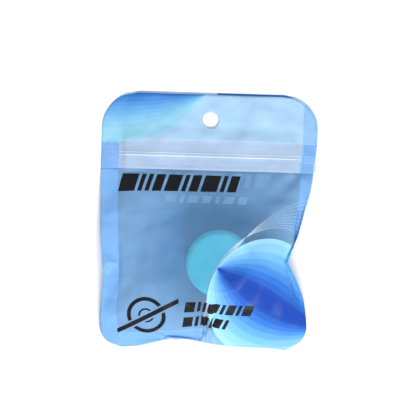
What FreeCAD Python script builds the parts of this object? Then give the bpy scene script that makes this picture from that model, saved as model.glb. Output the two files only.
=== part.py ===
# Round cue chalk sealed in a press-to-close pouch with a hang hole.
#
# The pouch lies on its back: X across, +Y from the bottom seal towards the mouth, +Z up.
# The origin is on the floor under the middle of the pouch's outline.  Millimetres.
# Two films are fused along the left, right and bottom seals.  The chalk stands on the back
# film and holds the front film up as a tent.  The press-to-close strips and the hang hole
# are above the window, and the front film turns up about the strips' lower edge.

import FreeCAD, Part
import math
import os
import Sketcher
from FreeCAD import Placement, Rotation, Vector

doc = FreeCAD.newDocument("chalk_pouch")
sheet = doc.addObject("Spreadsheet::Sheet", "dims")

DRIVING_SIZES = (
    ("film", 0.15, "thickness of one film"),
    ("pouch_width", 80.0, "widest outline of the filled pouch"),
    ("pouch_length", 94.8, "longest outline of the filled pouch"),
    ("top_corner", 13.0, "corner radius beside the mouth"),
    ("bottom_corner", 7.0, "corner radius beside the bottom seal"),
    ("left_edge", -33.4, "inner edge of the left seal beside the header"),
    ("right_edge", 35.0, "inner edge of the right seal beside the header"),
    ("strip_low", 19.2, "lower edge of the closing strips, where the mouth folds"),
    ("strip_high", 30.0, "upper edge of the closing strips"),
    ("bead_place", 24.6, "centre of the rib and its channel"),
    ("strip_room", 1.8, "room between the films over the closing strips"),
    ("flange", 0.25, "thickness of a closing strip's flange"),
    ("lip_top", 1.1, "height of the channel walls above their flange"),
    ("lip_depth", 0.3, "thickness of the channel's two inward lips"),
    ("channel_half", 1.3, "half width over the channel walls"),
    ("channel_bore", 0.9, "half width between the channel walls"),
    ("lip_bore", 0.5, "half width between the lips"),
    ("rib_stem", 0.3, "half width of the rib's stem"),
    ("rib_head", 0.75, "half width of the rib's hooked head"),
    ("rib_tip", 0.25, "half width of the rib's tip"),
    ("rib_reach", 1.2, "depth of the rib below its flange"),
    ("hook_depth", 0.6, "depth of the rib's hook below its flange"),
    ("side_play", 0.3, "clearance of the moving mouth beside each seal"),
    ("weld_height", 0.55, "height of a crushed strip end above the seal"),
    ("weld_width", 4.4, "width of a crushed strip end"),
    ("weld_inset", 0.6, "distance from the seal's inner edge to a crushed end"),
    ("hole_across", 0.4, "hang hole, X"),
    ("hole_along", 38.1, "hang hole, Y"),
    ("hole_radius", 3.0, "hang hole radius"),
    ("chalk_across", 5.0, "chalk centre, X"),
    ("chalk_along", -14.5, "chalk centre, Y"),
    ("chalk_radius", 12.0, "chalk radius"),
    ("chalk_height", 17.0, "chalk height"),
    ("chalk_bevel", 1.4, "bevel round both rims of the chalk"),
    ("chalk_play", 0.1, "gap between the chalk and the back film"),
    ("cap_play", 0.4, "gap between the chalk and the front film"),
)

for row, (alias, value, note) in enumerate(DRIVING_SIZES, start=1):
    sheet.set(f"A{row}", note)
    sheet.set(f"B{row}", str(value))
    sheet.setAlias(f"B{row}", alias)
doc.recompute()

film = sheet.film
nodes = []


def bind(thing, **rules):
    """Tie properties to the sheet; Placement axes are written as at_x, at_y and at_z."""
    for name, rule in rules.items():
        path = f"Placement.Base.{name[-1]}" if name.startswith("at_") else name
        thing.setExpression(path, rule)


def as_node(thing, name):
    thing.Label = name
    nodes.append(thing)
    return thing


# ---------------------------------------------------------------- sketches

def plane_of(body, role):
    return next(item for item in body.Origin.OriginFeatures if item.Role == role)


def new_sketch(body, role):
    sketch = body.newObject("Sketcher::SketchObject", "profile")
    sketch.AttachmentSupport = [(plane_of(body, role), "")]
    sketch.MapMode = "FlatFace"
    return sketch


def pinned_polygon(sketch, corners):
    """A closed polygon whose every corner is pinned by a pair of sheet expressions."""
    count = len(corners)
    for step in range(count):
        start = Vector(step, step * step, 0)
        end = Vector(step + 1, (step + 1) * (step + 1), 0)
        sketch.addGeometry(Part.LineSegment(start, end), False)
    for step in range(count):
        sketch.addConstraint(Sketcher.Constraint("Coincident", step, 2, (step + 1) % count, 1))
    for step, corner in enumerate(corners):
        for direction, rule in zip(("DistanceX", "DistanceY"), corner):
            index = sketch.addConstraint(Sketcher.Constraint(direction, -1, 1, step, 1, 1.0))
            sketch.setExpression(f"Constraints[{index}]", rule)


def pad(body, sketch, length_rule):
    feature = body.newObject("PartDesign::Pad", "pad")
    feature.Profile = sketch
    feature.setExpression("Length", length_rule)
    sketch.Visibility = False
    return feature


# ---------------------------------------------------------------- chalk

def make_chalk():
    body = doc.addObject("PartDesign::Body", "chalk_body")
    sketch = new_sketch(body, "XY_Plane")
    sketch.addGeometry(Part.Circle(Vector(0, 0, 0), Vector(0, 0, 1), 5.0), False)
    sketch.addConstraint(Sketcher.Constraint("Coincident", 0, 3, -1, 1))
    index = sketch.addConstraint(Sketcher.Constraint("Radius", 0, 5.0))
    sketch.setExpression(f"Constraints[{index}]", "dims.chalk_radius")
    block = pad(body, sketch, "dims.chalk_height")
    doc.recompute()
    rims = [
        f"Edge{number}"
        for number, edge in enumerate(block.Shape.Edges, start=1)
        if len(edge.Vertexes) == 1
    ]
    bevel = body.newObject("PartDesign::Chamfer", "bevel")
    bevel.Base = (block, rims)
    bevel.setExpression("Size", "dims.chalk_bevel")
    bind(
        body,
        at_x="dims.chalk_across",
        at_y="dims.chalk_along",
        at_z="dims.film + dims.chalk_play",
    )
    return as_node(body, "chalk")


# ---------------------------------------------------------------- closing strips

def strip_body(name, corners, at_z):
    """A strip of constant section: the sketch is its Y-Z section, padded along X."""
    body = doc.addObject("PartDesign::Body", name + "_body")
    sketch = new_sketch(body, "YZ_Plane")
    pinned_polygon(sketch, corners)
    pad(body, sketch, "dims.right_edge - dims.left_edge - 2 * dims.side_play")
    bind(body, at_x="dims.left_edge + dims.side_play", at_y="dims.bead_place", at_z=at_z)
    return as_node(body, name)


BELOW_BEAD = "dims.strip_low - dims.bead_place"
ABOVE_BEAD = "dims.strip_high - dims.bead_place"


def make_channel_strip():
    """Flange on the back film with two walls that end in inward lips."""
    floor = "dims.flange"
    top = "dims.flange + dims.lip_top"
    under_lip = "dims.flange + dims.lip_top - dims.lip_depth"
    return strip_body("zip_channel_strip", (
        (BELOW_BEAD, "0"),
        (ABOVE_BEAD, "0"),
        (ABOVE_BEAD, floor),
        ("dims.channel_half", floor),
        ("dims.channel_half", top),
        ("dims.lip_bore", top),
        ("dims.lip_bore", under_lip),
        ("dims.channel_bore", under_lip),
        ("dims.channel_bore", floor),
        ("-dims.channel_bore", floor),
        ("-dims.channel_bore", under_lip),
        ("-dims.lip_bore", under_lip),
        ("-dims.lip_bore", top),
        ("-dims.channel_half", top),
        ("-dims.channel_half", floor),
        (BELOW_BEAD, floor),
    ), "dims.film")


def make_rib_strip():
    """Flange under the front film with a hooked rib that hangs in the channel."""
    face = "-dims.flange"
    hook = "-dims.flange - dims.hook_depth"
    tip = "-dims.flange - dims.rib_reach"
    return strip_body("zip_rib_strip", (
        (BELOW_BEAD, "0"),
        (BELOW_BEAD, face),
        ("-dims.rib_stem", face),
        ("-dims.rib_stem", hook),
        ("-dims.rib_head", hook),
        ("-dims.rib_tip", tip),
        ("dims.rib_tip", tip),
        ("dims.rib_head", hook),
        ("dims.rib_stem", hook),
        ("dims.rib_stem", face),
        (ABOVE_BEAD, face),
        (ABOVE_BEAD, "0"),
    ), "dims.film + dims.strip_room")


# ---------------------------------------------------------------- header sheets

def make_rounded_block():
    """A tall block with the pouch's outer corners, which trims the sheets and seals."""
    box = doc.addObject("Part::Box", "outline_box")
    bind(
        box,
        Length="dims.pouch_width",
        Width="dims.pouch_length",
        Height="10 * dims.strip_room",
        at_x="-dims.pouch_width / 2",
        at_y="-dims.pouch_length / 2",
        at_z="-dims.strip_room",
    )
    doc.recompute()
    rounded = doc.addObject("Part::Fillet", "outline_block")
    rounded.Base = box
    edges = []
    for number, edge in enumerate(box.Shape.Edges, start=1):
        ends = [vertex.Point for vertex in edge.Vertexes]
        if abs(ends[0].z - ends[1].z) > sheet.strip_room:
            radius = sheet.top_corner if ends[0].y > 0 else sheet.bottom_corner
            edges.append((number, radius, radius))
    rounded.Edges = edges
    doc.recompute()
    return rounded


def make_header(name, block, play, height):
    """A flat sheet between the side seals, above the fold, with the hang hole in it."""
    sheet_box = doc.addObject("Part::Box", name + "_sheet")
    bind(
        sheet_box,
        Length=f"dims.right_edge - dims.left_edge - 2 * {play}",
        Width="dims.pouch_length / 2 - dims.strip_low",
        Height="dims.film",
        at_x=f"dims.left_edge + {play}",
        at_y="dims.strip_low",
        at_z=height,
    )
    trimmed = doc.addObject("Part::Common", name + "_trimmed")
    trimmed.Base = sheet_box
    trimmed.Tool = block
    punch = doc.addObject("Part::Cylinder", name + "_punch")
    bind(
        punch,
        Radius="dims.hole_radius",
        Height="4 * dims.film",
        at_x="dims.hole_across",
        at_y="dims.hole_along",
        at_z=f"{height} - dims.film",
    )
    header = doc.addObject("Part::Cut", name + "_cut")
    header.Base = trimmed
    header.Tool = punch
    return as_node(header, name)


def make_strip_end(name, at_x):
    """The flattened ends of both closing strips, a low block on the side seal."""
    end = doc.addObject("Part::Box", name + "_box")
    bind(
        end,
        Length="dims.weld_width",
        Width="dims.strip_high - dims.strip_low",
        Height="dims.weld_height",
        at_x=at_x,
        at_y="dims.strip_low",
        at_z="2 * dims.film",
    )
    return as_node(end, name)


# ---------------------------------------------------------------- films and seals

# Where the two films meet along each seal: inner X, outer X, Y and the height of the joint.
# The seals are pulled in and up beside the chalk and lie on the floor at the corners.
LEFT_SEAL = (
    (sheet.left_edge, -40.0, sheet.strip_low, film),
    (-33.2, -39.6, 5.0, 2.2),
    (-31.4, -37.6, -18.5, 5.5),
    (-32.0, -38.4, -31.0, 3.0),
    (-32.2, -39.2, -41.4, film),
)
RIGHT_SEAL = (
    (sheet.right_edge, 40.0, sheet.strip_low, film),
    (32.6, 37.4, 7.0, 2.6),
    (25.6, 30.4, -13.2, 7.5),
    (31.8, 36.8, -28.5, 3.0),
    (32.6, 38.8, -41.4, film),
)
# The same for the bottom seal, left to right: X, inner Y, outer Y and height.
BOTTOM_SEAL = (
    (-10.0, -37.6, -42.6, 4.6),
    (6.0, -39.0, -44.8, 4.0),
)
FOLD_INSET = 6.0
CHALK_SIDES = 12


def solid_over(cells, below, above):
    """The closed solid between two heights of every corner of a net of plan cells.

    A cell is a ring of (x, y) corners; below and above give each corner's two heights.
    """
    def raised(corner, level):
        return Vector(corner[0], corner[1], level[corner])

    def face(points):
        return Part.Face(Part.makePolygon(points + points[:1]))

    faces = []
    sides = {}
    for cell in cells:
        faces.append(face([raised(corner, above) for corner in cell]))
        faces.append(face([raised(corner, below) for corner in cell]))
        for start, end in zip(cell, cell[1:] + cell[:1]):
            sides.setdefault(frozenset((start, end)), []).append((start, end))
    for uses in sides.values():
        if len(uses) == 1:
            start, end = uses[0]
            ring = [raised(start, below), raised(end, below), raised(end, above), raised(start, above)]
            faces.append(face(ring))
    shell = Part.Shell(faces)
    shell.sewShape()
    solid = Part.Solid(shell)
    if solid.Volume < 0:
        solid.reverse()
    return solid.removeSplitter()


def offset(level, amount):
    return {corner: height + amount for corner, height in level.items()}


def as_feature(name, shape):
    feature = doc.addObject("Part::Feature", name + "_feature")
    feature.Shape = shape
    feature.Placement = Placement(Vector(0, 0, 0), Rotation())
    return as_node(feature, name)


def window_rings():
    """The chalk's cap ring, the window's edge ring, and the films' inner heights on each."""
    centre = Vector(sheet.chalk_across, sheet.chalk_along, 0)
    reach = (sheet.chalk_radius + sheet.cap_play) / math.cos(math.pi / CHALK_SIDES)
    cap = []
    for side in range(CHALK_SIDES):
        turn = 2 * math.pi * (side + 0.5) / CHALK_SIDES
        cap.append((centre.x + reach * math.cos(turn), centre.y + reach * math.sin(turn)))

    joint = {(inner, along): height for inner, outer, along, height in LEFT_SEAL + RIGHT_SEAL}
    joint.update({(across, inner): height for across, inner, outer, height in BOTTOM_SEAL})
    fold = [
        (sheet.left_edge + FOLD_INSET, sheet.strip_low),
        (sheet.right_edge - FOLD_INSET, sheet.strip_low),
    ]

    def bearing(corner):
        return math.atan2(corner[1] - centre.y, corner[0] - centre.x) % (2 * math.pi)

    edge = sorted(list(joint) + fold, key=bearing)
    cap.sort(key=bearing)

    front = dict(joint)
    front.update({corner: film + sheet.strip_room for corner in fold})
    cap_height = film + sheet.chalk_play + sheet.chalk_height + sheet.cap_play
    front.update({corner: cap_height for corner in cap})
    back = dict(joint)
    back.update({corner: film for corner in fold + cap})
    return cap, edge, front, back, bearing


def ring_cells(cap, edge, bearing):
    """Triangles that fill the ring between the cap and the window's edge."""
    cells = []
    inner = 0
    outer = 0
    inner_turns = [bearing(corner) for corner in cap] + [bearing(cap[0]) + 2 * math.pi]
    outer_turns = [bearing(corner) for corner in edge] + [bearing(edge[0]) + 2 * math.pi]
    while inner < len(cap) or outer < len(edge):
        near = cap[inner % len(cap)]
        far = edge[outer % len(edge)]
        take_inner = outer == len(edge) or (
            inner < len(cap) and inner_turns[inner + 1] < outer_turns[outer + 1]
        )
        if take_inner:
            inner += 1
            cells.append((near, far, cap[inner % len(cap)]))
        else:
            outer += 1
            cells.append((near, far, edge[outer % len(edge)]))
    return cells


def make_panels():
    cap, edge, front, back, bearing = window_rings()
    cells = [tuple(cap)] + ring_cells(cap, edge, bearing)
    as_feature("front_panel", solid_over(cells, front, offset(front, film)))
    as_feature("back_panel", solid_over(cells, offset(back, -film), back))


def side_seal(name, stations, block):
    """Both films fused from the top corner to the bottom corner, with its ends trimmed round."""
    side = math.copysign(sheet.pouch_width / 2, stations[0][1])
    top = sheet.pouch_length / 2
    inner = [(station[0], station[2]) for station in stations]
    outer = [(station[1], station[2]) for station in stations]
    level = {}
    for station in stations:
        level[(station[0], station[2])] = station[3]
        level[(station[1], station[2])] = station[3]
    header_corners = ((stations[0][0], top), (side, top))
    foot_corners = ((stations[-1][0], -top), (outer[-1][0], -top))
    for corner in header_corners + foot_corners:
        level[corner] = film
    inner = [header_corners[0]] + inner + [foot_corners[0]]
    outer = [header_corners[1]] + outer + [foot_corners[1]]
    cells = []
    for step in range(len(inner) - 1):
        cells.append((inner[step], inner[step + 1], outer[step]))
        cells.append((inner[step + 1], outer[step + 1], outer[step]))
    strip = solid_over(cells, offset(level, -film), offset(level, film))
    as_feature(name, strip.common(block.Shape).removeSplitter())


def make_bottom_seal():
    foot = -sheet.pouch_length / 2
    stations = ((LEFT_SEAL[-1][0], LEFT_SEAL[-1][2], foot, film),)
    stations += BOTTOM_SEAL
    stations += ((RIGHT_SEAL[-1][0], RIGHT_SEAL[-1][2], foot, film),)
    level = {}
    for across, inner, outer, height in stations:
        level[(across, inner)] = height
        level[(across, outer)] = height
    cells = []
    for one, two in zip(stations, stations[1:]):
        cells.append(((one[0], one[1]), (one[0], one[2]), (two[0], two[1])))
        cells.append(((two[0], two[1]), (one[0], one[2]), (two[0], two[2])))
    as_feature("bottom_seal", solid_over(cells, offset(level, -film), offset(level, film)))


# ---------------------------------------------------------------- assembly

outline_block = make_rounded_block()
make_chalk()
make_channel_strip()
make_rib_strip()
make_header("back_header", outline_block, "0 * dims.side_play", "0 * dims.film")
make_header("front_header", outline_block, "dims.side_play", "dims.film + dims.strip_room")
make_strip_end("left_zip_end", "dims.left_edge - dims.weld_inset - dims.weld_width")
make_strip_end("right_zip_end", "dims.right_edge + dims.weld_inset")
make_panels()
side_seal("left_side_seal", LEFT_SEAL, outline_block)
side_seal("right_side_seal", RIGHT_SEAL, outline_block)
make_bottom_seal()
doc.recompute()

for thing in doc.Objects:
    faults = [state for state in thing.State if state in ("Invalid", "Error")]
    if faults:
        raise RuntimeError(f"{thing.Label}: {faults}")

os.makedirs("parts", exist_ok=True)
for node in nodes:
    shape = node.Shape
    if shape.isNull() or not shape.isValid() or not shape.Solids:
        raise RuntimeError(f"{node.Label}: bad shape")
    shape.exportStep(f"parts/{node.Label}.step")
    print(f"{node.Label}: {shape.Volume:.2f} mm3, {len(shape.Solids)} solid(s), {shape.BoundBox}")
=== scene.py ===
# Round cue chalk in a press-to-close pouch: its looks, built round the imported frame.
#
# Lengths are in millimetres until a mesh is made.  A film is described twice: (across, along)
# is its place on the flat film, as it was printed, and (x, y, z) its place in the filled pouch.
# The two films below the closing strips are simulated as the chalk pushes them apart.  Above
# the fold the films lie flat, and the front one is made in two halves that bow open.

import math

import bmesh
import bpy
import numpy as np
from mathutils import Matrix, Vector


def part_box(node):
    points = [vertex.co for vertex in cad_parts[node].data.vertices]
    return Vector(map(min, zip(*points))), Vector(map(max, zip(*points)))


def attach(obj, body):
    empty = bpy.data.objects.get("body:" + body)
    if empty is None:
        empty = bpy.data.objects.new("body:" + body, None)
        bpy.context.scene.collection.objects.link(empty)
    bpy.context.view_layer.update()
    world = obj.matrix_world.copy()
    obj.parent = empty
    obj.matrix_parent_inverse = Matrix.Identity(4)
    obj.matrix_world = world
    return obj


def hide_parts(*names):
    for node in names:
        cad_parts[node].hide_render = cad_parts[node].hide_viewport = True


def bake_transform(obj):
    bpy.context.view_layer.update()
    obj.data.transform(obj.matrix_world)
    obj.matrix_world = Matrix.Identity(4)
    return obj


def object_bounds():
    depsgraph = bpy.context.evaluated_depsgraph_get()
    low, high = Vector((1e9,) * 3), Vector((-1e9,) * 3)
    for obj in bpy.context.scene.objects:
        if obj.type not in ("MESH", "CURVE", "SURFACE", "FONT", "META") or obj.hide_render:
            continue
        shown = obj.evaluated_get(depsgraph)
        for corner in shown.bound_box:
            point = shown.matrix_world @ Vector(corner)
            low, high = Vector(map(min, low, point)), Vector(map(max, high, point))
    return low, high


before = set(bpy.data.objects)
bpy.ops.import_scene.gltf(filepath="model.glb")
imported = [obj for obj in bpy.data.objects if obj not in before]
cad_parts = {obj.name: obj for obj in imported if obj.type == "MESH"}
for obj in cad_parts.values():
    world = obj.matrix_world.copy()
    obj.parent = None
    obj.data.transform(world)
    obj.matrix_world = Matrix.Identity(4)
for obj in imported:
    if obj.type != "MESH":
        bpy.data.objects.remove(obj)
cad_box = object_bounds()

MM = 0.001


def node_box(name):
    """A CAD node's lowest and highest corners in millimetres."""
    low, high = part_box(name)
    return np.array(low) / MM, np.array(high) / MM


# ---------------------------------------------------------------- sizes from the frame

POUCH, MOUTH, CHALK = "pouch", "mouth", "chalk_puck"
OUTER_HIGH = np.array(cad_box[1]) / MM
HEADER_LOW, HEADER_HIGH = node_box("back_header")
STRIP_LOW, STRIP_HIGH = node_box("zip_rib_strip")
PUCK_LOW, PUCK_HIGH = node_box("chalk")
FOLD = HEADER_LOW[1]
MOUTH_EDGE = HEADER_HIGH[1]
FOLD_HEIGHT = node_box("front_header")[1][2]
HALF_WIDTH = OUTER_HIGH[0]
LEFT_SEAL = HEADER_LOW[0]
RIGHT_SEAL = HEADER_HIGH[0]
STRIP_TOP = STRIP_HIGH[1]
BEAD = (FOLD + STRIP_TOP) / 2
PUCK = (PUCK_LOW + PUCK_HIGH) / 2
PUCK_RADIUS = (PUCK_HIGH[0] - PUCK_LOW[0]) / 2

FLAT_LENGTH = 97.0
FOOT = MOUTH_EDGE - FLAT_LENGTH
BOTTOM_SEAL = FOOT + 5.6
SEAL_CORNER = 4.0
TOP_CORNER = 13.0
FOOT_CORNER = 8.0
HOLE = (0.4, 38.1)
HOLE_RADIUS = 3.0
BEVEL = 1.4
SHEET_THICKNESS = 0.12
BACK_HEIGHT = 0.08
SEAL_HEIGHT = 0.32
SEAL_EASE = 3.5
FLOOR_GAP = 0.02
SEAM_REACH = 0.03


# ---------------------------------------------------------------- the filled pouch's outline

# Where the seals' outer edges lie, seen from above: (y, x) down each side, (x, y) along the foot.
LEFT_EDGE = (
    (-47, -39.2), (-38, -38.8), (-29, -38.0), (-21, -37.3), (-14, -38.0), (-6, -39.0), (5, -39.5),
    (19.2, -40),
)
RIGHT_EDGE = (
    (-47, 39.0), (-37, 38.4), (-27, 36.4), (-20, 33.5), (-16, 31.2), (-13, 30.3), (-10, 31.1),
    (-4, 33.7), (5, 36.0), (12, 38.0), (19.2, 39.2),
)
FOOT_EDGE = (
    (-33, -47.4), (-24, -46.4), (-16, -44.1), (-9.5, -42.6), (-3.5, -43.4), (4, -44.8), (12, -45.5),
    (26, -46), (33, -47.2),
)
# How high the seals stand off the floor: (y, z) down each side, (x, z) along the foot.
LEFT_RISE = ((-47, 0.3), (-41, 0.8), (-31, 3.5), (-18.5, 6.0), (5, 2.4), (19.2, 0.3))
RIGHT_RISE = ((-47, 0.3), (-41, 0.8), (-28.5, 4.0), (-13.2, 8.5), (7, 3.0), (19.2, 0.3))
FOOT_RISE = ((-38, 0.3), (-31, 0.8), (-10, 5.2), (6, 4.6), (31, 0.8), (38, 0.3))


def along_edge(places, edge):
    knots = np.array(edge)
    return np.interp(places, knots[:, 0], knots[:, 1])


def half_width_at(along):
    """Half the flat film's width, narrower in its round corners."""
    into_top = np.clip(along - (MOUTH_EDGE - TOP_CORNER), 0, TOP_CORNER)
    into_foot = np.clip((FOOT + FOOT_CORNER) - along, 0, FOOT_CORNER)
    top_cut = TOP_CORNER - np.sqrt(TOP_CORNER**2 - into_top**2)
    foot_cut = FOOT_CORNER - np.sqrt(FOOT_CORNER**2 - into_foot**2)
    return HALF_WIDTH - top_cut - foot_cut


# ---------------------------------------------------------------- simulating the films

STEP = 1.25
SIM_STEPS = 420
PASSES = 8
GROW_SHARE = 0.55
GRAVITY = 0.0006
AIR = 0.004
DRAG = 0.94
SHEAR = 0.6
BEND = 0.04
CLEARANCE = 0.32


def sealed(flat):
    """True where the two films are fused: outside the window's round-cornered edge."""
    middle = np.array([(LEFT_SEAL + RIGHT_SEAL) / 2, (BOTTOM_SEAL + MOUTH_EDGE + 20) / 2])
    half = np.array([(RIGHT_SEAL - LEFT_SEAL) / 2, (MOUTH_EDGE + 20 - BOTTOM_SEAL) / 2])
    reach = np.abs(flat - middle) - (half - SEAL_CORNER)
    outside = np.linalg.norm(np.maximum(reach, 0), axis=-1) + np.minimum(reach.max(axis=-1), 0)
    return outside > SEAL_CORNER


def pull(first, second, rest, share):
    """Move pairs of points towards their distance on the flat film."""
    gap = second - first
    length = np.linalg.norm(gap, axis=-1, keepdims=True) + 1e-9
    move = (0.5 * share) * (1 - rest[..., None] / length) * gap
    first += move
    second -= move


def spans(cloth, rests):
    """Every batch of neighbours in the grid that share no point, with its flat distances."""
    batches = []
    for parity in (0, 1):
        before, after = cloth[:, :, parity:-1:2], cloth[:, :, parity + 1::2]
        batches.append((before, after, rests["across"][:, parity::2], 1.0))
        upper, lower = cloth[:, parity + 1::2], cloth[:, parity:-1:2]
        batches.append((lower, upper, rests["along"][parity::2], 1.0))
        batches.append((lower[:, :, :-1], upper[:, :, 1:], rests["rising"][parity::2], SHEAR))
        batches.append((lower[:, :, 1:], upper[:, :, :-1], rests["falling"][parity::2], SHEAR))
    return batches


def swell(cloth):
    """A small push along each film's outward normal, from the air between the films."""
    across = cloth[:, 1:-1, 2:] - cloth[:, 1:-1, :-2]
    along = cloth[:, 2:, 1:-1] - cloth[:, :-2, 1:-1]
    area = np.cross(across, along) / (4 * STEP * STEP)
    return area * np.array([-1.0, 1.0])[:, None, None, None]


def push_off_chalk(points, height, side):
    """Move one film out of the chalk, a cylinder with rounded rims: up for side 1, down for -1."""
    away = points[..., :2] - PUCK[:2]
    radius = np.linalg.norm(away, axis=-1)
    outward = away / (radius[..., None] + 1e-9)
    middle = PUCK_LOW[2] + height / 2
    rise = np.maximum(side * (points[..., 2] - middle), 0)
    over = np.stack([radius - (PUCK_RADIUS - BEVEL), rise - (height / 2 - BEVEL)], axis=-1)
    beyond = np.maximum(over, 0)
    reach = np.linalg.norm(beyond, axis=-1)
    depth = reach + np.minimum(over.max(axis=-1), 0) - BEVEL
    corner = reach > 1e-6
    flat_first = over[..., 0] > over[..., 1]
    slope_out = np.where(corner, beyond[..., 0] / (reach + 1e-9), flat_first)
    slope_up = np.where(corner, beyond[..., 1] / (reach + 1e-9), ~flat_first)
    push = np.clip(CLEARANCE - depth, 0, None)
    points[..., :2] += outward * (push * slope_out)[..., None]
    points[..., 2] += push * slope_up * side


def simulate_films():
    """Grow the chalk between the two films and let them settle; returns flat and filled grids."""
    columns = int(round(2 * HALF_WIDTH / STEP)) + 1
    rows = int(round((FOLD - FOOT) / STEP)) + 1
    along = np.linspace(FOOT, FOLD, rows)
    across = np.linspace(-1, 1, columns)
    flat = np.empty((rows, columns, 2))
    flat[..., 0] = half_width_at(along)[:, None] * across
    flat[..., 1] = along[:, None]

    def rest(first, second):
        return np.linalg.norm(second - first, axis=-1)

    rests = {
        "across": rest(flat[:, :-1], flat[:, 1:]),
        "along": rest(flat[:-1], flat[1:]),
        "rising": rest(flat[:-1, :-1], flat[1:, 1:]),
        "falling": rest(flat[:-1, 1:], flat[1:, :-1]),
    }
    fused = sealed(flat)
    rounded = HALF_WIDTH - half_width_at(along)
    cloth = np.zeros((2, rows, columns, 3))
    cloth[..., :2] = flat
    cloth[0, ..., 2] = BACK_HEIGHT
    cloth[1, ..., 2] = BACK_HEIGHT + 0.2
    fold = fold_profile(flat[-1, :, 0])
    ends = fold_places(flat[-1, :, 0])
    fold_line = np.stack([ends, np.full(columns, FOLD), np.full(columns, BACK_HEIGHT)], axis=-1)
    pinned = np.stack([fold_line] * 2)
    pinned[1, :, 2] = fold - BACK_HEIGHT
    still = cloth.copy()
    batches = spans(cloth, rests)

    for step in range(SIM_STEPS):
        grown = min(1.0, step / (GROW_SHARE * SIM_STEPS))
        height = 3.0 + (PUCK_HIGH[2] - PUCK_LOW[2] - 3.0) * grown
        guide = 0.25 * grown
        speed = (cloth - still) * DRAG
        still[:] = cloth
        cloth += speed
        cloth[..., 2] -= GRAVITY
        cloth[:, 1:-1, 1:-1] += AIR * swell(cloth) * ~fused[1:-1, 1:-1, None]
        for _ in range(PASSES):
            for first, second, length, share in batches:
                pull(first, second, length, share)
            smooth = (cloth[:, :, :-2] + cloth[:, :, 2:]) / 2 - cloth[:, :, 1:-1]
            cloth[:, :, 1:-1] += BEND * smooth
            smooth = (cloth[:, :-2] + cloth[:, 2:]) / 2 - cloth[:, 1:-1]
            cloth[:, 1:-1] += BEND * smooth
            push_off_chalk(cloth[0], height, -1)
            push_off_chalk(cloth[1], height, 1)
            cloth[..., 2] = np.maximum(cloth[..., 2], BACK_HEIGHT)
            squeeze = np.clip(0.2 - (cloth[1, ..., 2] - cloth[0, ..., 2]), 0, None) / 2
            cloth[1, ..., 2] += squeeze
            cloth[0, ..., 2] = np.maximum(cloth[0, ..., 2] - squeeze, BACK_HEIGHT)
            middle = (cloth[0][fused] + cloth[1][fused]) / 2
            cloth[0][fused] = middle - (0, 0, BACK_HEIGHT)
            cloth[1][fused] = middle + (0, 0, BACK_HEIGHT)
            left, right, foot = cloth[:, :, 0], cloth[:, :, -1], cloth[:, 0]
            left[..., 0] += guide * (along_edge(left[..., 1], LEFT_EDGE) + rounded - left[..., 0])
            right[..., 0] += guide * (along_edge(right[..., 1], RIGHT_EDGE) - rounded - right[..., 0])
            foot[..., 1] += guide * (along_edge(foot[..., 0], FOOT_EDGE) - foot[..., 1])
            left[..., 2] += guide * (along_edge(left[..., 1], LEFT_RISE) - left[..., 2])
            right[..., 2] += guide * (along_edge(right[..., 1], RIGHT_RISE) - right[..., 2])
            foot[..., 2] += guide * (along_edge(foot[..., 0], FOOT_RISE) - foot[..., 2])
            cloth[:, -1] = pinned
    return flat, cloth


def fold_profile(across):
    """Height of the front film's outer face along the fold, pinched down onto the seals."""
    return SEAL_HEIGHT + (FOLD_HEIGHT - SEAL_HEIGHT) * inside_seals(across)


def fold_places(across):
    """X along the fold: the right edge is already drawn in a little there."""
    right = along_edge(FOLD, RIGHT_EDGE)
    return np.where(across > 0, across * right / HALF_WIDTH, across)


# ---------------------------------------------------------------- meshes

def finer(grid):
    """Twice as many points along the first axis, on a smooth curve through the old ones."""
    padded = np.concatenate([2 * grid[:1] - grid[1:2], grid, 2 * grid[-1:] - grid[-2:-1]])
    middles = (9 * (padded[1:-2] + padded[2:-1]) - padded[:-3] - padded[3:]) / 16
    result = np.empty((2 * len(grid) - 1,) + grid.shape[1:])
    result[::2] = grid
    result[1::2] = middles
    return result


def finer_both(grid):
    return np.swapaxes(finer(np.swapaxes(finer(grid), 0, 1)), 0, 1)


def grid_piece(name, points, flat):
    """A mesh over a grid of points, with each corner's place on the flat film as its UV."""
    rows, columns = points.shape[:2]
    index = np.arange(rows * columns).reshape(rows, columns)
    corners = [index[:-1, :-1], index[:-1, 1:], index[1:, 1:], index[1:, :-1]]
    faces = np.stack(corners, axis=-1).reshape(-1, 4)
    mesh = bpy.data.meshes.new(name)
    mesh.from_pydata((points.reshape(-1, 3) * MM).tolist(), [], faces.tolist())
    layer = mesh.uv_layers.new(name="flat")
    places = (flat.reshape(-1, 2) / 100 + 0.5)[faces.reshape(-1)]
    layer.data.foreach_set("uv", places.astype(np.float32).ravel())
    mesh.polygons.foreach_set("use_smooth", [True] * len(mesh.polygons))
    mesh.update()
    piece = bpy.data.objects.new(name, mesh)
    bpy.context.collection.objects.link(piece)
    return piece


def settle_modifiers(piece):
    """Turn a piece's modifiers into its mesh."""
    bpy.context.view_layer.update()
    shape = piece.evaluated_get(bpy.context.evaluated_depsgraph_get())
    mesh = bpy.data.meshes.new_from_object(shape)
    piece.modifiers.clear()
    piece.data = mesh


def thicken(piece, thickness, offset):
    layer = piece.modifiers.new("thickness", "SOLIDIFY")
    layer.thickness = thickness * MM
    layer.offset = offset
    settle_modifiers(piece)


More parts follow.
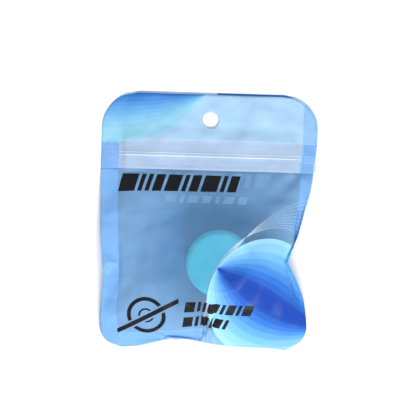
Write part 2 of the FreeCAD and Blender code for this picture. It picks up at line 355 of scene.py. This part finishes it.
def punch(piece):
    """Cut the hang hole through a piece."""
    turn = np.linspace(0, 2 * math.pi, 64, endpoint=False)
    ring = np.array(HOLE) + HOLE_RADIUS * np.stack([np.cos(turn), np.sin(turn)], axis=-1)
    count = len(ring)
    points = [(x * MM, y * MM, z * MM) for z in (-3, 6) for x, y in ring]
    sides = [(k, (k + 1) % count, (k + 1) % count + count, k + count) for k in range(count)]
    faces = sides + [tuple(reversed(range(count))), tuple(range(count, 2 * count))]
    mesh = bpy.data.meshes.new("punch")
    mesh.from_pydata(points, [], faces)
    cutter = bpy.data.objects.new("punch", mesh)
    bpy.context.collection.objects.link(cutter)
    cut = piece.modifiers.new("hole", "BOOLEAN")
    cut.operation = "DIFFERENCE"
    cut.solver = "EXACT"
    cut.object = cutter
    settle_modifiers(piece)
    bpy.data.objects.remove(cutter)


def open_seam(piece):
    """Take away the wall at X = 0, where the two halves meet, so that no line shows there."""
    mesh = bmesh.new()
    mesh.from_mesh(piece.data)
    wall = [face for face in mesh.faces if all(abs(vert.co.x) < SEAM_REACH * MM for vert in face.verts)]
    bmesh.ops.delete(mesh, geom=wall, context="FACES")
    mesh.to_mesh(piece.data)
    mesh.free()


def keep_off_floor(piece):
    """Lift whatever part of a film has dipped into the floor."""
    for vert in piece.data.vertices:
        vert.co.z = max(vert.co.z, FLOOR_GAP * MM)


def eased(value):
    value = np.clip(value, 0, 1)
    return value * value * (3 - 2 * value)


def inside_seals(across):
    """0 on the side seals, rising to 1 a little way inside them."""
    return eased(np.minimum(across - LEFT_SEAL, RIGHT_SEAL - across) / SEAL_EASE)


def front_height(across, along):
    """Height of the front film above the fold: over the strips, then down to the back film."""
    down = eased((along - STRIP_TOP) / 6.0)
    level = (FOLD_HEIGHT - BACK_HEIGHT) * (1 - down) + 0.55 * down
    bead = 0.32 * np.exp(-(((along - BEAD) / 0.9) ** 2))
    edges = [np.exp(-(((along - edge) / 0.5) ** 2)) for edge in (STRIP_TOP, FOLD + 0.7)]
    flange = 0.16 * (edges[0] + edges[1])
    wave = 0.20 * np.sin(across * 0.19 + along * 0.11) * np.sin(along * 0.37 - across * 0.05 + 1.0)
    wave += 0.10 * np.sin(across * 0.43 - along * 0.21 + 2.0)
    level = level + bead + flange + wave * eased((along - STRIP_TOP) / 4.0)
    return SEAL_HEIGHT + (level - SEAL_HEIGHT) * inside_seals(across)


def header_grid(across_share, shift):
    """Flat and filled places of a film above the fold; shift moves its far edges."""
    rows = np.concatenate([np.arange(FOLD, STRIP_TOP, 0.4), np.linspace(STRIP_TOP, MOUTH_EDGE, 20)])
    rows[0] = FOLD
    flat = np.empty((len(rows), len(across_share), 2))
    flat[..., 0] = half_width_at(rows)[:, None] * across_share
    flat[..., 1] = rows[:, None]
    drawn_in = fold_places(flat[..., 0]) - flat[..., 0]
    fading = 1 - eased((flat[..., 1] - FOLD) / 10)
    place = np.empty(flat.shape[:2] + (3,))
    far = eased((flat[..., 1] - FOLD) / 20)
    place[..., 0] = flat[..., 0] + drawn_in * fading + shift[0] * far
    place[..., 1] = flat[..., 1] + shift[1] * far
    return flat, place


# ---------------------------------------------------------------- the two films

flat, cloth = simulate_films()
flat_fine = finer_both(flat)
share = flat_fine[-1, :, 0] / HALF_WIDTH
header_flat, header_place = header_grid(share, (0, 0))
header_place[..., 2] = front_height(header_flat[..., 0], header_flat[..., 1])
back_flat, back_place = header_grid(share, (0.5, 0.8))
back_place[..., 2] = BACK_HEIGHT

front_window = grid_piece("front_window", finer_both(cloth[1]), flat_fine)
back_film = grid_piece(
    "back_film",
    np.concatenate([finer_both(cloth[0]), back_place[1:]]),
    np.concatenate([flat_fine, back_flat[1:]]),
)
middle = len(share) // 2
left, right = np.s_[:, :middle + 1], np.s_[:, middle:]
header_left = grid_piece("front_header_left", header_place[left], header_flat[left])
header_right = grid_piece("front_header_right", header_place[right], header_flat[right])
for piece in (front_window, back_film, header_left, header_right):
    thicken(piece, SHEET_THICKNESS, 0)
for piece in (back_film, header_left, header_right):
    punch(piece)
for piece in (header_left, header_right):
    open_seam(piece)
for piece in (front_window, back_film):
    keep_off_floor(piece)


# ---------------------------------------------------------------- closing strips

LOWEST_RIB = 0.16


def strip_piece(name, section, stations, base, hanging, flatness=1.0):
    """A strip of one section, lofted along X and squeezed flat towards the side seals.

    section is its closed outline as (along, height above its film); base gives the film's
    inner face; hanging turns it upside down under the front film.
    """
    outline = np.array(section)
    rings = []
    for across in stations:
        thin = flatness * (0.3 + 0.7 * inside_seals(across))
        along = outline[:, 0]
        rise = outline[:, 1] * thin
        level = base(across, along)
        height = np.maximum(level - rise, LOWEST_RIB) if hanging else level + rise
        rings.append(np.stack([np.full(len(outline), across), along, height], axis=-1))
    points = np.concatenate(rings) * MM
    count = len(outline)
    faces = []
    for ring in range(len(stations) - 1):
        for side in range(count):
            one, two = ring * count + side, ring * count + (side + 1) % count
            faces.append((one, two, two + count, one + count))
    faces.append(tuple(reversed(range(count))))
    faces.append(tuple(range((len(stations) - 1) * count, len(stations) * count)))
    mesh = bpy.data.meshes.new(name)
    mesh.from_pydata(points.tolist(), [], faces)
    mesh.update()
    piece = bpy.data.objects.new(name, mesh)
    bpy.context.collection.objects.link(piece)
    return piece


FLANGE = 0.25
RIB = [
    (FOLD, 0), (STRIP_TOP, 0), (STRIP_TOP, FLANGE), (BEAD + 0.3, FLANGE), (BEAD + 0.3, 0.85),
    (BEAD + 0.7, 0.85), (BEAD + 0.25, 1.4), (BEAD - 0.25, 1.4), (BEAD - 0.7, 0.85),
    (BEAD - 0.3, 0.85), (BEAD - 0.3, FLANGE), (FOLD, FLANGE),
]
CHANNEL = [
    (FOLD, 0), (STRIP_TOP, 0), (STRIP_TOP, FLANGE), (BEAD + 1.3, FLANGE), (BEAD + 1.3, 1.35),
    (BEAD + 0.5, 1.35), (BEAD + 0.5, 1.05), (BEAD + 0.9, 1.05), (BEAD + 0.9, FLANGE),
    (BEAD - 0.9, FLANGE), (BEAD - 0.9, 1.05), (BEAD - 0.5, 1.05), (BEAD - 0.5, 1.35),
    (BEAD - 1.3, 1.35), (BEAD - 1.3, FLANGE), (FOLD, FLANGE),
]
CRUSHED = [
    (FOLD + 0.4, 0), (STRIP_TOP - 0.4, 0), (STRIP_TOP - 0.5, 0.22), (BEAD + 1.5, 0.24),
    (BEAD + 1.0, 0.48), (BEAD + 0.4, 0.26), (BEAD, 0.44), (BEAD - 0.5, 0.26),
    (BEAD - 1.1, 0.50), (BEAD - 1.6, 0.24), (FOLD + 0.5, 0.22),
]


def under_front(across, along):
    return front_height(np.full_like(along, across), along) - 0.2


def over_back(across, along):
    return np.full_like(along, 0.18)


def over_seal(across, along):
    return np.full_like(along, 0.30)


def stations(first, last):
    return np.linspace(first, last, int(abs(last - first) / 1.0) + 2)


rib_left = strip_piece("zip_rib_left", RIB, stations(STRIP_LOW[0], 0), under_front, True)
rib_right = strip_piece("zip_rib_right", RIB, stations(0, STRIP_HIGH[0]), under_front, True)
full_length = stations(STRIP_LOW[0], STRIP_HIGH[0])
channel = strip_piece("zip_channel", CHANNEL, full_length, over_back, False)
ends = []
for name in ("left_zip_end", "right_zip_end"):
    low, high = node_box(name)
    end = strip_piece("crushed_" + name, CRUSHED, stations(low[0], high[0]), over_seal, False, 3.3)
    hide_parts(name)
    ends.append(end)


# ---------------------------------------------------------------- chalk

def make_puck():
    """The pressed puck, lathed: bevelled rims whose corners are worn round."""
    top = PUCK_HIGH[2] - PUCK_LOW[2]
    worn = 0.45
    corners = [(0, 0), (PUCK_RADIUS - BEVEL, 0), (PUCK_RADIUS, BEVEL), (PUCK_RADIUS, top - BEVEL),
               (PUCK_RADIUS - BEVEL, top), (0, top)]
    profile = [corners[0]]
    for before, corner, after in zip(corners, corners[1:], corners[2:]):
        before, corner, after = (np.array(point, float) for point in (before, corner, after))
        enter = corner + (before - corner) / np.linalg.norm(before - corner) * worn
        leave = corner + (after - corner) / np.linalg.norm(after - corner) * worn
        for part in np.linspace(0, 1, 5):
            rest = 1 - part
            profile.append(tuple(rest**2 * enter + 2 * part * rest * corner + part**2 * leave))
    profile.append(corners[-1])
    dense = [profile[0]]
    for before, after in zip(profile, profile[1:]):
        steps = max(1, int(math.dist(before, after) / 0.8))
        for part in range(1, steps + 1):
            share = part / steps
            dense.append(tuple(low + (high - low) * share for low, high in zip(before, after)))
    sides = 96
    random = np.random.default_rng(7)
    points = [(PUCK[0], PUCK[1], PUCK_LOW[2])]
    rings = dense[1:-1]
    for radius, rise in rings:
        rough = random.normal(0, 0.02, sides)
        for side in range(sides):
            turn = 2 * math.pi * side / sides
            reach = min(radius + rough[side] - 0.03, PUCK_RADIUS)
            x, y = PUCK[0] + reach * math.cos(turn), PUCK[1] + reach * math.sin(turn)
            points.append((x, y, PUCK_LOW[2] + rise))
    points.append((PUCK[0], PUCK[1], PUCK_HIGH[2]))
    last = len(points) - 1
    faces = []
    for side in range(sides):
        follow = (side + 1) % sides
        faces.append((0, 1 + follow, 1 + side))
        for ring in range(len(rings) - 1):
            low, high = 1 + ring * sides, 1 + (ring + 1) * sides
            faces.append((low + side, low + follow, high + follow, high + side))
        top_ring = 1 + (len(rings) - 1) * sides
        faces.append((top_ring + side, top_ring + follow, last))
    mesh = bpy.data.meshes.new("chalk_puck_body")
    mesh.from_pydata([tuple(value * MM for value in point) for point in points], [], faces)
    mesh.polygons.foreach_set("use_smooth", [True] * len(mesh.polygons))
    mesh.update()
    piece = bpy.data.objects.new("chalk_puck_body", mesh)
    bpy.context.collection.objects.link(piece)
    return piece


puck = make_puck()

# ---------------------------------------------------------------- what moves with what

for piece in (front_window, back_film, channel, *ends):
    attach(piece, POUCH)
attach(puck, CHALK)
hinge = (0, FOLD * MM, FOLD_HEIGHT * MM)
for left, right in ((header_left, header_right), (rib_left, rib_right)):
    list(hinge[1:])
    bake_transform(left)
    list(hinge[1:])
    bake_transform(right)
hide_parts("front_panel", "left_side_seal", "right_side_seal", "bottom_seal")
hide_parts("back_panel", "back_header")
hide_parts("front_header")
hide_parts("zip_rib_strip")
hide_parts("zip_channel_strip")
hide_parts("chalk")


# ---------------------------------------------------------------- materials

def srgb(red, green, blue):
    """A display colour, 0 to 255, as linear light."""
    levels = [value / 255 for value in (red, green, blue)]
    linear = [v / 12.92 if v <= 0.04045 else ((v + 0.055) / 1.055) ** 2.4 for v in levels]
    return (*linear, 1.0)


class Field:
    """A number that varies over a surface, as a socket in a material's node tree."""

    def __init__(self, tree, socket):
        self.tree = tree
        self.socket = socket

    def math(self, operation, *others):
        node = self.tree.nodes.new("ShaderNodeMath")
        node.operation = operation
        self.tree.links.new(self.socket, node.inputs[0])
        for place, other in enumerate(others, start=1):
            if isinstance(other, Field):
                self.tree.links.new(other.socket, node.inputs[place])
            else:
                node.inputs[place].default_value = other
        return Field(self.tree, node.outputs[0])

    def __add__(self, other):
        return self.math("ADD", other)

    def __sub__(self, other):
        return self.math("SUBTRACT", other)

    def __mul__(self, other):
        return self.math("MULTIPLY", other)

    def __truediv__(self, other):
        return self.math("DIVIDE", other)

    def __abs__(self):
        return self.math("ABSOLUTE")

    def at_least(self, other):
        return self.math("MAXIMUM", other)

    def opposite(self):
        return self.math("MULTIPLY", -1.0) + 1.0

    def below(self, limit, soft):
        """1 where the value is below limit, fading to 0 over soft each side of it."""
        node = self.tree.nodes.new("ShaderNodeMapRange")
        node.interpolation_type = "SMOOTHSTEP"
        self.tree.links.new(self.socket, node.inputs["Value"])
        node.inputs["From Min"].default_value = limit - soft
        node.inputs["From Max"].default_value = limit + soft
        node.inputs["To Min"].default_value = 1.0
        node.inputs["To Max"].default_value = 0.0
        return Field(self.tree, node.outputs["Result"])


def length(x, y):
    return (x * x + y * y).math("SQRT")


def blend_colours(tree, share, first, second):
    node = tree.nodes.new("ShaderNodeMix")
    node.data_type = "RGBA"
    tree.links.new(share.socket, node.inputs["Factor"])
    for name, colour in (("A", first), ("B", second)):
        socket = next(item for item in node.inputs if item.name == name and item.type == "RGBA")
        if isinstance(colour, tuple):
            socket.default_value = colour
        else:
            tree.links.new(colour, socket)
    return next(item for item in node.outputs if item.type == "RGBA")


def ramp(tree, value, stops):
    node = tree.nodes.new("ShaderNodeValToRGB")
    tree.links.new(value.socket, node.inputs["Fac"])
    elements = node.color_ramp.elements
    while len(elements) < len(stops):
        elements.new(0.5)
    for element, (place, colour) in zip(elements, stops):
        element.position = place
        element.color = colour
    return node.outputs["Color"]


def new_material(name):
    material = bpy.data.materials.new(name)
    material.use_nodes = True
    tree = material.node_tree
    tree.nodes.clear()
    return material, tree


def film_places(tree):
    """The flat film's (across, along) in millimetres at each point of its surface."""
    source = tree.nodes.new("ShaderNodeUVMap")
    source.uv_map = "flat"
    split = tree.nodes.new("ShaderNodeSeparateXYZ")
    tree.links.new(source.outputs["UV"], split.inputs[0])
    across = (Field(tree, split.outputs["X"]) - 0.5) * 100
    along = (Field(tree, split.outputs["Y"]) - 0.5) * 100
    return across, along


def seal_mask(across, along):
    """1 on the fused seals and 0 in the window, whose lower corners are round."""
    middle = (LEFT_SEAL + RIGHT_SEAL) / 2
    half = (RIGHT_SEAL - LEFT_SEAL) / 2 - SEAL_CORNER
    beside = abs(across - middle) - half
    under = along * -1.0 + (BOTTOM_SEAL + SEAL_CORNER)
    outside = length(beside.at_least(0.0), under.at_least(0.0))
    return outside.below(SEAL_CORNER, 0.25).opposite()


def slanted_bar(across, along, left, width, middle, height, slant=0.25):
    """A leaning block: left and width are at its middle height."""
    beside = abs(across - (left + width / 2) - (along - middle) * slant).below(width / 2, 0.07)
    return beside * abs(along - middle).below(height / 2, 0.07)


def any_of(masks):
    result = masks[0]
    for mask in masks[1:]:
        result = result.at_least(mask)
    return result


def bar_row(across, along, left, widths, gap, middle, height):
    masks = []
    for width in widths:
        masks.append(slanted_bar(across, along, left, width, middle, height))
        left += width + gap
    return any_of(masks)


def ring_line(across, along, centre, radius, half_line, soft=0.06):
    return abs(length(across - centre[0], along - centre[1]) - radius).below(half_line, soft)


def circle_through(first, second, third):
    """Centre and radius of the circle through three points."""
    (ax, ay), (bx, by), (cx, cy) = first, second, third
    scale = 2 * (ax * (by - cy) + bx * (cy - ay) + cx * (ay - by))
    a, b, c = ax * ax + ay * ay, bx * bx + by * by, cx * cx + cy * cy
    x = (a * (by - cy) + b * (cy - ay) + c * (ay - by)) / scale
    y = (a * (cx - bx) + b * (ax - cx) + c * (bx - ax)) / scale
    return (x, y), math.dist((x, y), first)


def swoosh(tree, across, along, tip, tail, bands, stops):
    """Banded colour between the arcs that join a tip to a tail: their angle picks it."""
    to_tip = (across * -1.0 + tip[0], along * -1.0 + tip[1])
    to_tail = (across * -1.0 + tail[0], along * -1.0 + tail[1])
    crossed = to_tip[0] * to_tail[1] - to_tip[1] * to_tail[0]
    along_both = to_tip[0] * to_tail[0] + to_tip[1] * to_tail[1]
    turn = (crossed.math("ARCTAN2", along_both) / (2 * math.pi) + 1.0).math("FRACT")
    off_middle = abs(turn - 0.5)
    stepped = (off_middle * bands).math("FLOOR") / bands
    return ramp(tree, stepped * 0.65 + off_middle * 0.35, stops)


BLACK = srgb(12, 14, 22)
WHITE = srgb(236, 247, 255)
STRAINED = srgb(214, 232, 255)
PALE = srgb(160, 222, 246)
SKY = srgb(104, 176, 236)
MID = srgb(50, 120, 212)
DEEP = srgb(12, 66, 168)
FILM_BODY = (0.34, 0.60, 0.90, 1.0)
SEAL_BODY = (0.26, 0.55, 0.96, 1.0)
HEADER_BODY = (0.50, 0.76, 1.0, 1.0)
FILM_TINT = (0.76, 0.87, 0.94, 1.0)
SEAL_TINT = (0.80, 0.90, 0.97, 1.0)
FILM_COVER = 0.17


def film_shader(name, prints):
    """Thin frosted film: tinted and see-through, cloudy where it scatters, opaque where printed."""
    material, tree = new_material(name)
    across, along = film_places(tree)
    seal = seal_mask(across, along)
    colour, cover = blend_colours(tree, seal, FILM_BODY, SEAL_BODY), seal * 0.3 + FILM_COVER
    header = along.below(STRIP_TOP, 0.1).opposite()
    colour = blend_colours(tree, header * (seal * -0.6 + 1.0), colour, HEADER_BODY)
    # More cloudy cover away from the chalk: partly the films' haze where they lie close, partly painted
    # light that makes the window paler towards its edges and darker round the chalk.
    contact_haze_and_painted_light = length(across - PUCK[0], along - PUCK[1]).below(25.0, 11.0).opposite()
    cover = cover.at_least(header * 0.5) + contact_haze_and_painted_light * 0.26
    # Thin white lines along both edges of the closing strips, fainter on the seals: painted highlights
    # where the strip edges catch the light.
    edges = (abs(along - FOLD).below(0.16, 0.14)).at_least(abs(along - STRIP_TOP).below(0.16, 0.14))
    edges = edges * (seal * -0.75 + 1.0) * 0.55
    colour = blend_colours(tree, edges, colour, WHITE)
    cover = cover.at_least(edges)
    for share, ink, strength in prints(tree, across, along):
        colour = blend_colours(tree, share, colour, ink)
        cover = cover.at_least(share * strength)
    place = tree.nodes.new("ShaderNodeTexCoord")
    bump = None
    for scale, detail, depth in ((75.0, 1.5, 0.004), (900.0, 3.0, 0.00002)):
        noise = tree.nodes.new("ShaderNodeTexNoise")
        noise.inputs["Scale"].default_value = scale
        noise.inputs["Detail"].default_value = detail
        tree.links.new(place.outputs["Object"], noise.inputs["Vector"])
        deeper = tree.nodes.new("ShaderNodeBump")
        deeper.inputs["Distance"].default_value = depth
        tree.links.new(noise.outputs["Fac"], deeper.inputs["Height"])
        if bump:
            tree.links.new(bump.outputs["Normal"], deeper.inputs["Normal"])
        bump = deeper
    tint = blend_colours(tree, seal, FILM_TINT, SEAL_TINT)
    clear = tree.nodes.new("ShaderNodeBsdfTransparent")
    tree.links.new(tint, clear.inputs["Color"])
    body = tree.nodes.new("ShaderNodeBsdfPrincipled")
    body.inputs["Roughness"].default_value = 0.42
    body.inputs["Specular IOR Level"].default_value = 0.22
    tree.links.new(colour, body.inputs["Base Color"])
    tree.links.new(bump.outputs["Normal"], body.inputs["Normal"])
    mix = tree.nodes.new("ShaderNodeMixShader")
    tree.links.new(cover.socket, mix.inputs["Fac"])
    tree.links.new(clear.outputs[0], mix.inputs[1])
    tree.links.new(body.outputs[0], mix.inputs[2])
    out = tree.nodes.new("ShaderNodeOutputMaterial")
    tree.links.new(mix.outputs[0], out.inputs["Surface"])
    return material


SWOOSH_CENTRE, SWOOSH_RADIUS = (25.0, -30.6), 23.4
SWOOSH_TIP, SWOOSH_TAIL = (4.9, -18.6), (45.1, -42.6)
CORNER_CENTRE, CORNER_RADIUS = (-36.0, 69.0), 40.3
CORNER_TIP, CORNER_TAIL = (-1.6, 47.6), (-70.4, 47.6)
FAN_CROSSING = (14.7, -7.4)
FAN_LINES = 9


def front_prints(tree, across, along):
    """What colours the front film, in the order it is laid down: (where, colour, how opaque).

    First the paler film welded to the strip and the bead's bright creases, which stand in for
    highlights, then the printing.
    """
    within = abs(across - (LEFT_SEAL + RIGHT_SEAL) / 2).below((RIGHT_SEAL - LEFT_SEAL) / 2, 0.3)
    welded = abs(along - BEAD).below((STRIP_TOP - FOLD) / 2, 0.1)
    yield within * welded, STRAINED, 0.5
    # Bright lines along the bead: painted highlights, not printing.
    bead_highlights = [abs(along - BEAD - 0.7).below(0.14, 0.12), abs(along - BEAD + 0.35).below(0.2, 0.15),
               abs(along - BEAD - 3.3).below(0.08, 0.1) * 0.5]
    yield any_of(bead_highlights) * within, WHITE, 0.85

    spread = [step / (FAN_LINES - 1) for step in range(FAN_LINES)]
    fans = []
    for step in spread:
        foot = (-1.5 + 9.5 * step, FOOT)
        side = (35.5, 7.5 - 11.0 * step)
        centre, radius = circle_through(foot, FAN_CROSSING, side)
        fans.append(ring_line(across, along, centre, radius, 0.07))
    yield any_of(fans) * 0.75, WHITE, 0.8

    swirl = length(across - SWOOSH_CENTRE[0], along - SWOOSH_CENTRE[1]).below(SWOOSH_RADIUS, 0.08)
    stops = [(0.0, DEEP), (0.03, DEEP), (0.10, MID), (0.17, SKY), (0.24, PALE)]
    ink = swoosh(tree, across, along, SWOOSH_TIP, SWOOSH_TAIL, 34, stops)
    yield swirl, ink, 0.97

    corner = length(across - CORNER_CENTRE[0], along - CORNER_CENTRE[1]).below(CORNER_RADIUS, 0.08)
    stops = [(0.0, MID), (0.05, SKY), (0.12, PALE), (0.16, PALE)]
    ink = swoosh(tree, across, along, CORNER_TIP, CORNER_TAIL, 60, stops)
    yield corner, ink, 0.85

    bars = [
        bar_row(
            across, along, -32.5, (6.4, 1.6, 1.6, 3.4, 5.2, 1.6, 3.4, 6.0, 1.6, 3.4), 1.1, 13.5, 7.0
        ),
        bar_row(across, along, -7.2, (3.8, 1.3, 1.3, 4.4, 1.3, 3.0, 1.3, 3.6), 0.9, -34.0, 4.4),
        bar_row(across, along, -8.6, (3.6, 1.3, 4.2, 1.3, 3.0, 1.3), 0.9, -40.6, 4.4),
    ]
    ball = (-22.0, -37.0)
    cue = abs(across * 0.5 - along - (ball[0] * 0.5 - ball[1] + 0.6))
    within = abs(across - ball[0] - 0.5).below(12.2, 0.1)
    outer, inner = ring_line(across, along, ball, 6.6, 0.75), ring_line(across, along, ball, 2.6, 0.35)
    rings = outer.at_least(inner)
    motif = (rings * cue.below(1.7, 0.07).opposite()).at_least(cue.below(0.95, 0.07) * within)
    yield any_of(bars + [motif]), BLACK, 1.0


def back_prints(tree, across, along):
    """The back film's printing, seen from inside through the front film."""
    rows = [
        bar_row(across, along, -19.5, (5.4, 2.0, 4.4, 2.0, 5.4, 4.4, 2.0, 5.4), 1.7, 15.5, 5.6),
        bar_row(across, along, -15.5, (3.8, 1.6, 3.8, 3.2, 1.6, 3.8, 3.2), 1.6, 7.8, 2.8),
    ]
    yield any_of(rows), WHITE, 0.95
    top = along.below(MOUTH_EDGE - 0.9, 0.1).opposite() * across.below(2.0, 0.3).opposite()
    yield top, MID, 0.8
    side = across.below(HALF_WIDTH - 0.6, 0.1).opposite() * abs(along - 33.5).below(4.0, 0.3)
    yield side, PALE, 0.8


def strip_shader(name, cover, dark, light):
    """Milky extruded strip."""
    material, tree = new_material(name)
    clear = tree.nodes.new("ShaderNodeBsdfTransparent")
    clear.inputs["Color"].default_value = (0.93, 0.97, 1.0, 1.0)
    body = tree.nodes.new("ShaderNodeBsdfPrincipled")
    noise = tree.nodes.new("ShaderNodeTexNoise")
    noise.inputs["Scale"].default_value = 240.0
    place = tree.nodes.new("ShaderNodeTexCoord")
    tree.links.new(place.outputs["Object"], noise.inputs["Vector"])
    milk = ramp(tree, Field(tree, noise.outputs["Fac"]), [(0.3, dark), (0.7, light)])
    tree.links.new(milk, body.inputs["Base Color"])
    body.inputs["Roughness"].default_value = 0.3
    mix = tree.nodes.new("ShaderNodeMixShader")
    mix.inputs["Fac"].default_value = cover
    tree.links.new(clear.outputs[0], mix.inputs[1])
    tree.links.new(body.outputs[0], mix.inputs[2])
    out = tree.nodes.new("ShaderNodeOutputMaterial")
    tree.links.new(mix.outputs[0], out.inputs["Surface"])
    return material


def chalk_shader():
    """Matt pressed powder: fine grain, faint pressing marks, paler where it is rubbed."""
    material, tree = new_material("chalk")
    place = tree.nodes.new("ShaderNodeTexCoord")

    def noise(scale, detail):
        node = tree.nodes.new("ShaderNodeTexNoise")
        node.inputs["Scale"].default_value = scale
        node.inputs["Detail"].default_value = detail
        tree.links.new(place.outputs["Object"], node.inputs["Vector"])
        return Field(tree, node.outputs["Fac"])

    blotch = noise(260.0, 4.0)
    grain = noise(2600.0, 2.0)
    colour = ramp(tree, blotch * 0.6 + grain * 0.4, [(0.3, CHALK_DARK), (0.7, CHALK_LIGHT)])
    body = tree.nodes.new("ShaderNodeBsdfPrincipled")
    body.inputs["Roughness"].default_value = 0.95
    body.inputs["Specular IOR Level"].default_value = 0.1
    tree.links.new(colour, body.inputs["Base Color"])
    bump = tree.nodes.new("ShaderNodeBump")
    bump.inputs["Strength"].default_value = 0.35
    bump.inputs["Distance"].default_value = 0.0002
    tree.links.new((grain * 0.7 + blotch * 0.3).socket, bump.inputs["Height"])
    tree.links.new(bump.outputs["Normal"], body.inputs["Normal"])
    out = tree.nodes.new("ShaderNodeOutputMaterial")
    tree.links.new(body.outputs[0], out.inputs["Surface"])
    return material


CHALK_DARK = srgb(66, 224, 216)
CHALK_LIGHT = srgb(88, 242, 234)

front_film_look = film_shader("printed_front_film", front_prints)
back_film_look = film_shader("printed_back_film", back_prints)
milky = strip_shader("closing_strip", 0.4, (0.66, 0.82, 0.97, 1.0), (0.74, 0.89, 1.0, 1.0))
crushed = strip_shader("crushed_strip", 0.22, (0.30, 0.55, 0.90, 1.0), (0.60, 0.80, 1.0, 1.0))
looks = {
    front_film_look: (front_window, header_left, header_right),
    back_film_look: (back_film,),
    milky: (rib_left, rib_right, channel),
    crushed: ends,
    chalk_shader(): (puck,),
}
for material, pieces in looks.items():
    for piece in pieces:
        piece.data.materials.clear()
        piece.data.materials.append(material)

# ---------------------------------------------------------------- camera, floor and light

camera_data = bpy.data.cameras.new("camera")
camera = bpy.data.objects.new("camera", camera_data)
bpy.context.collection.objects.link(camera)
camera.location = (0.35 * MM, 5.3 * MM, 400 * MM)
camera.rotation_euler = (0, 0, math.radians(1.7))
camera_data.sensor_width = 36
camera_data.lens = 36 * 398 / 154.4
bpy.context.scene.camera = camera

floor_mesh = bpy.data.meshes.new("floor")
floor_mesh.from_pydata([(-2, -2, 0), (2, -2, 0), (2, 2, 0), (-2, 2, 0)], [], [(0, 1, 2, 3)])
floor = bpy.data.objects.new("floor", floor_mesh)
bpy.context.collection.objects.link(floor)
floor_look, tree = new_material("floor")
paint = tree.nodes.new("ShaderNodeBsdfDiffuse")
paint.inputs["Color"].default_value = (0.93, 0.92, 0.93, 1)
out = tree.nodes.new("ShaderNodeOutputMaterial")
tree.links.new(paint.outputs[0], out.inputs["Surface"])
floor_mesh.materials.append(floor_look)


def area_light(name, place, aim, size, energy):
    data = bpy.data.lights.new(name, "AREA")
    light = bpy.data.objects.new(name, data)
    bpy.context.collection.objects.link(light)
    light.location = place
    direction = np.array(place) - np.array(aim)
    light.rotation_euler = (
        math.atan2(math.hypot(direction[0], direction[1]), direction[2]),
        0,
        math.atan2(direction[0], -direction[1]),
    )
    data.size = size
    data.energy = energy
    return data


area_light("key", (0.15, -0.5, 0.6), (0, 0, 0), 0.35, 5.0)
world = bpy.data.worlds.new("studio")
world.use_nodes = True
world.node_tree.nodes["Background"].inputs["Color"].default_value = (0.96, 0.97, 1.0, 1)
world.node_tree.nodes["Background"].inputs["Strength"].default_value = 0.7
bpy.context.scene.world = world
bpy.context.scene.view_settings.view_transform = "Standard"
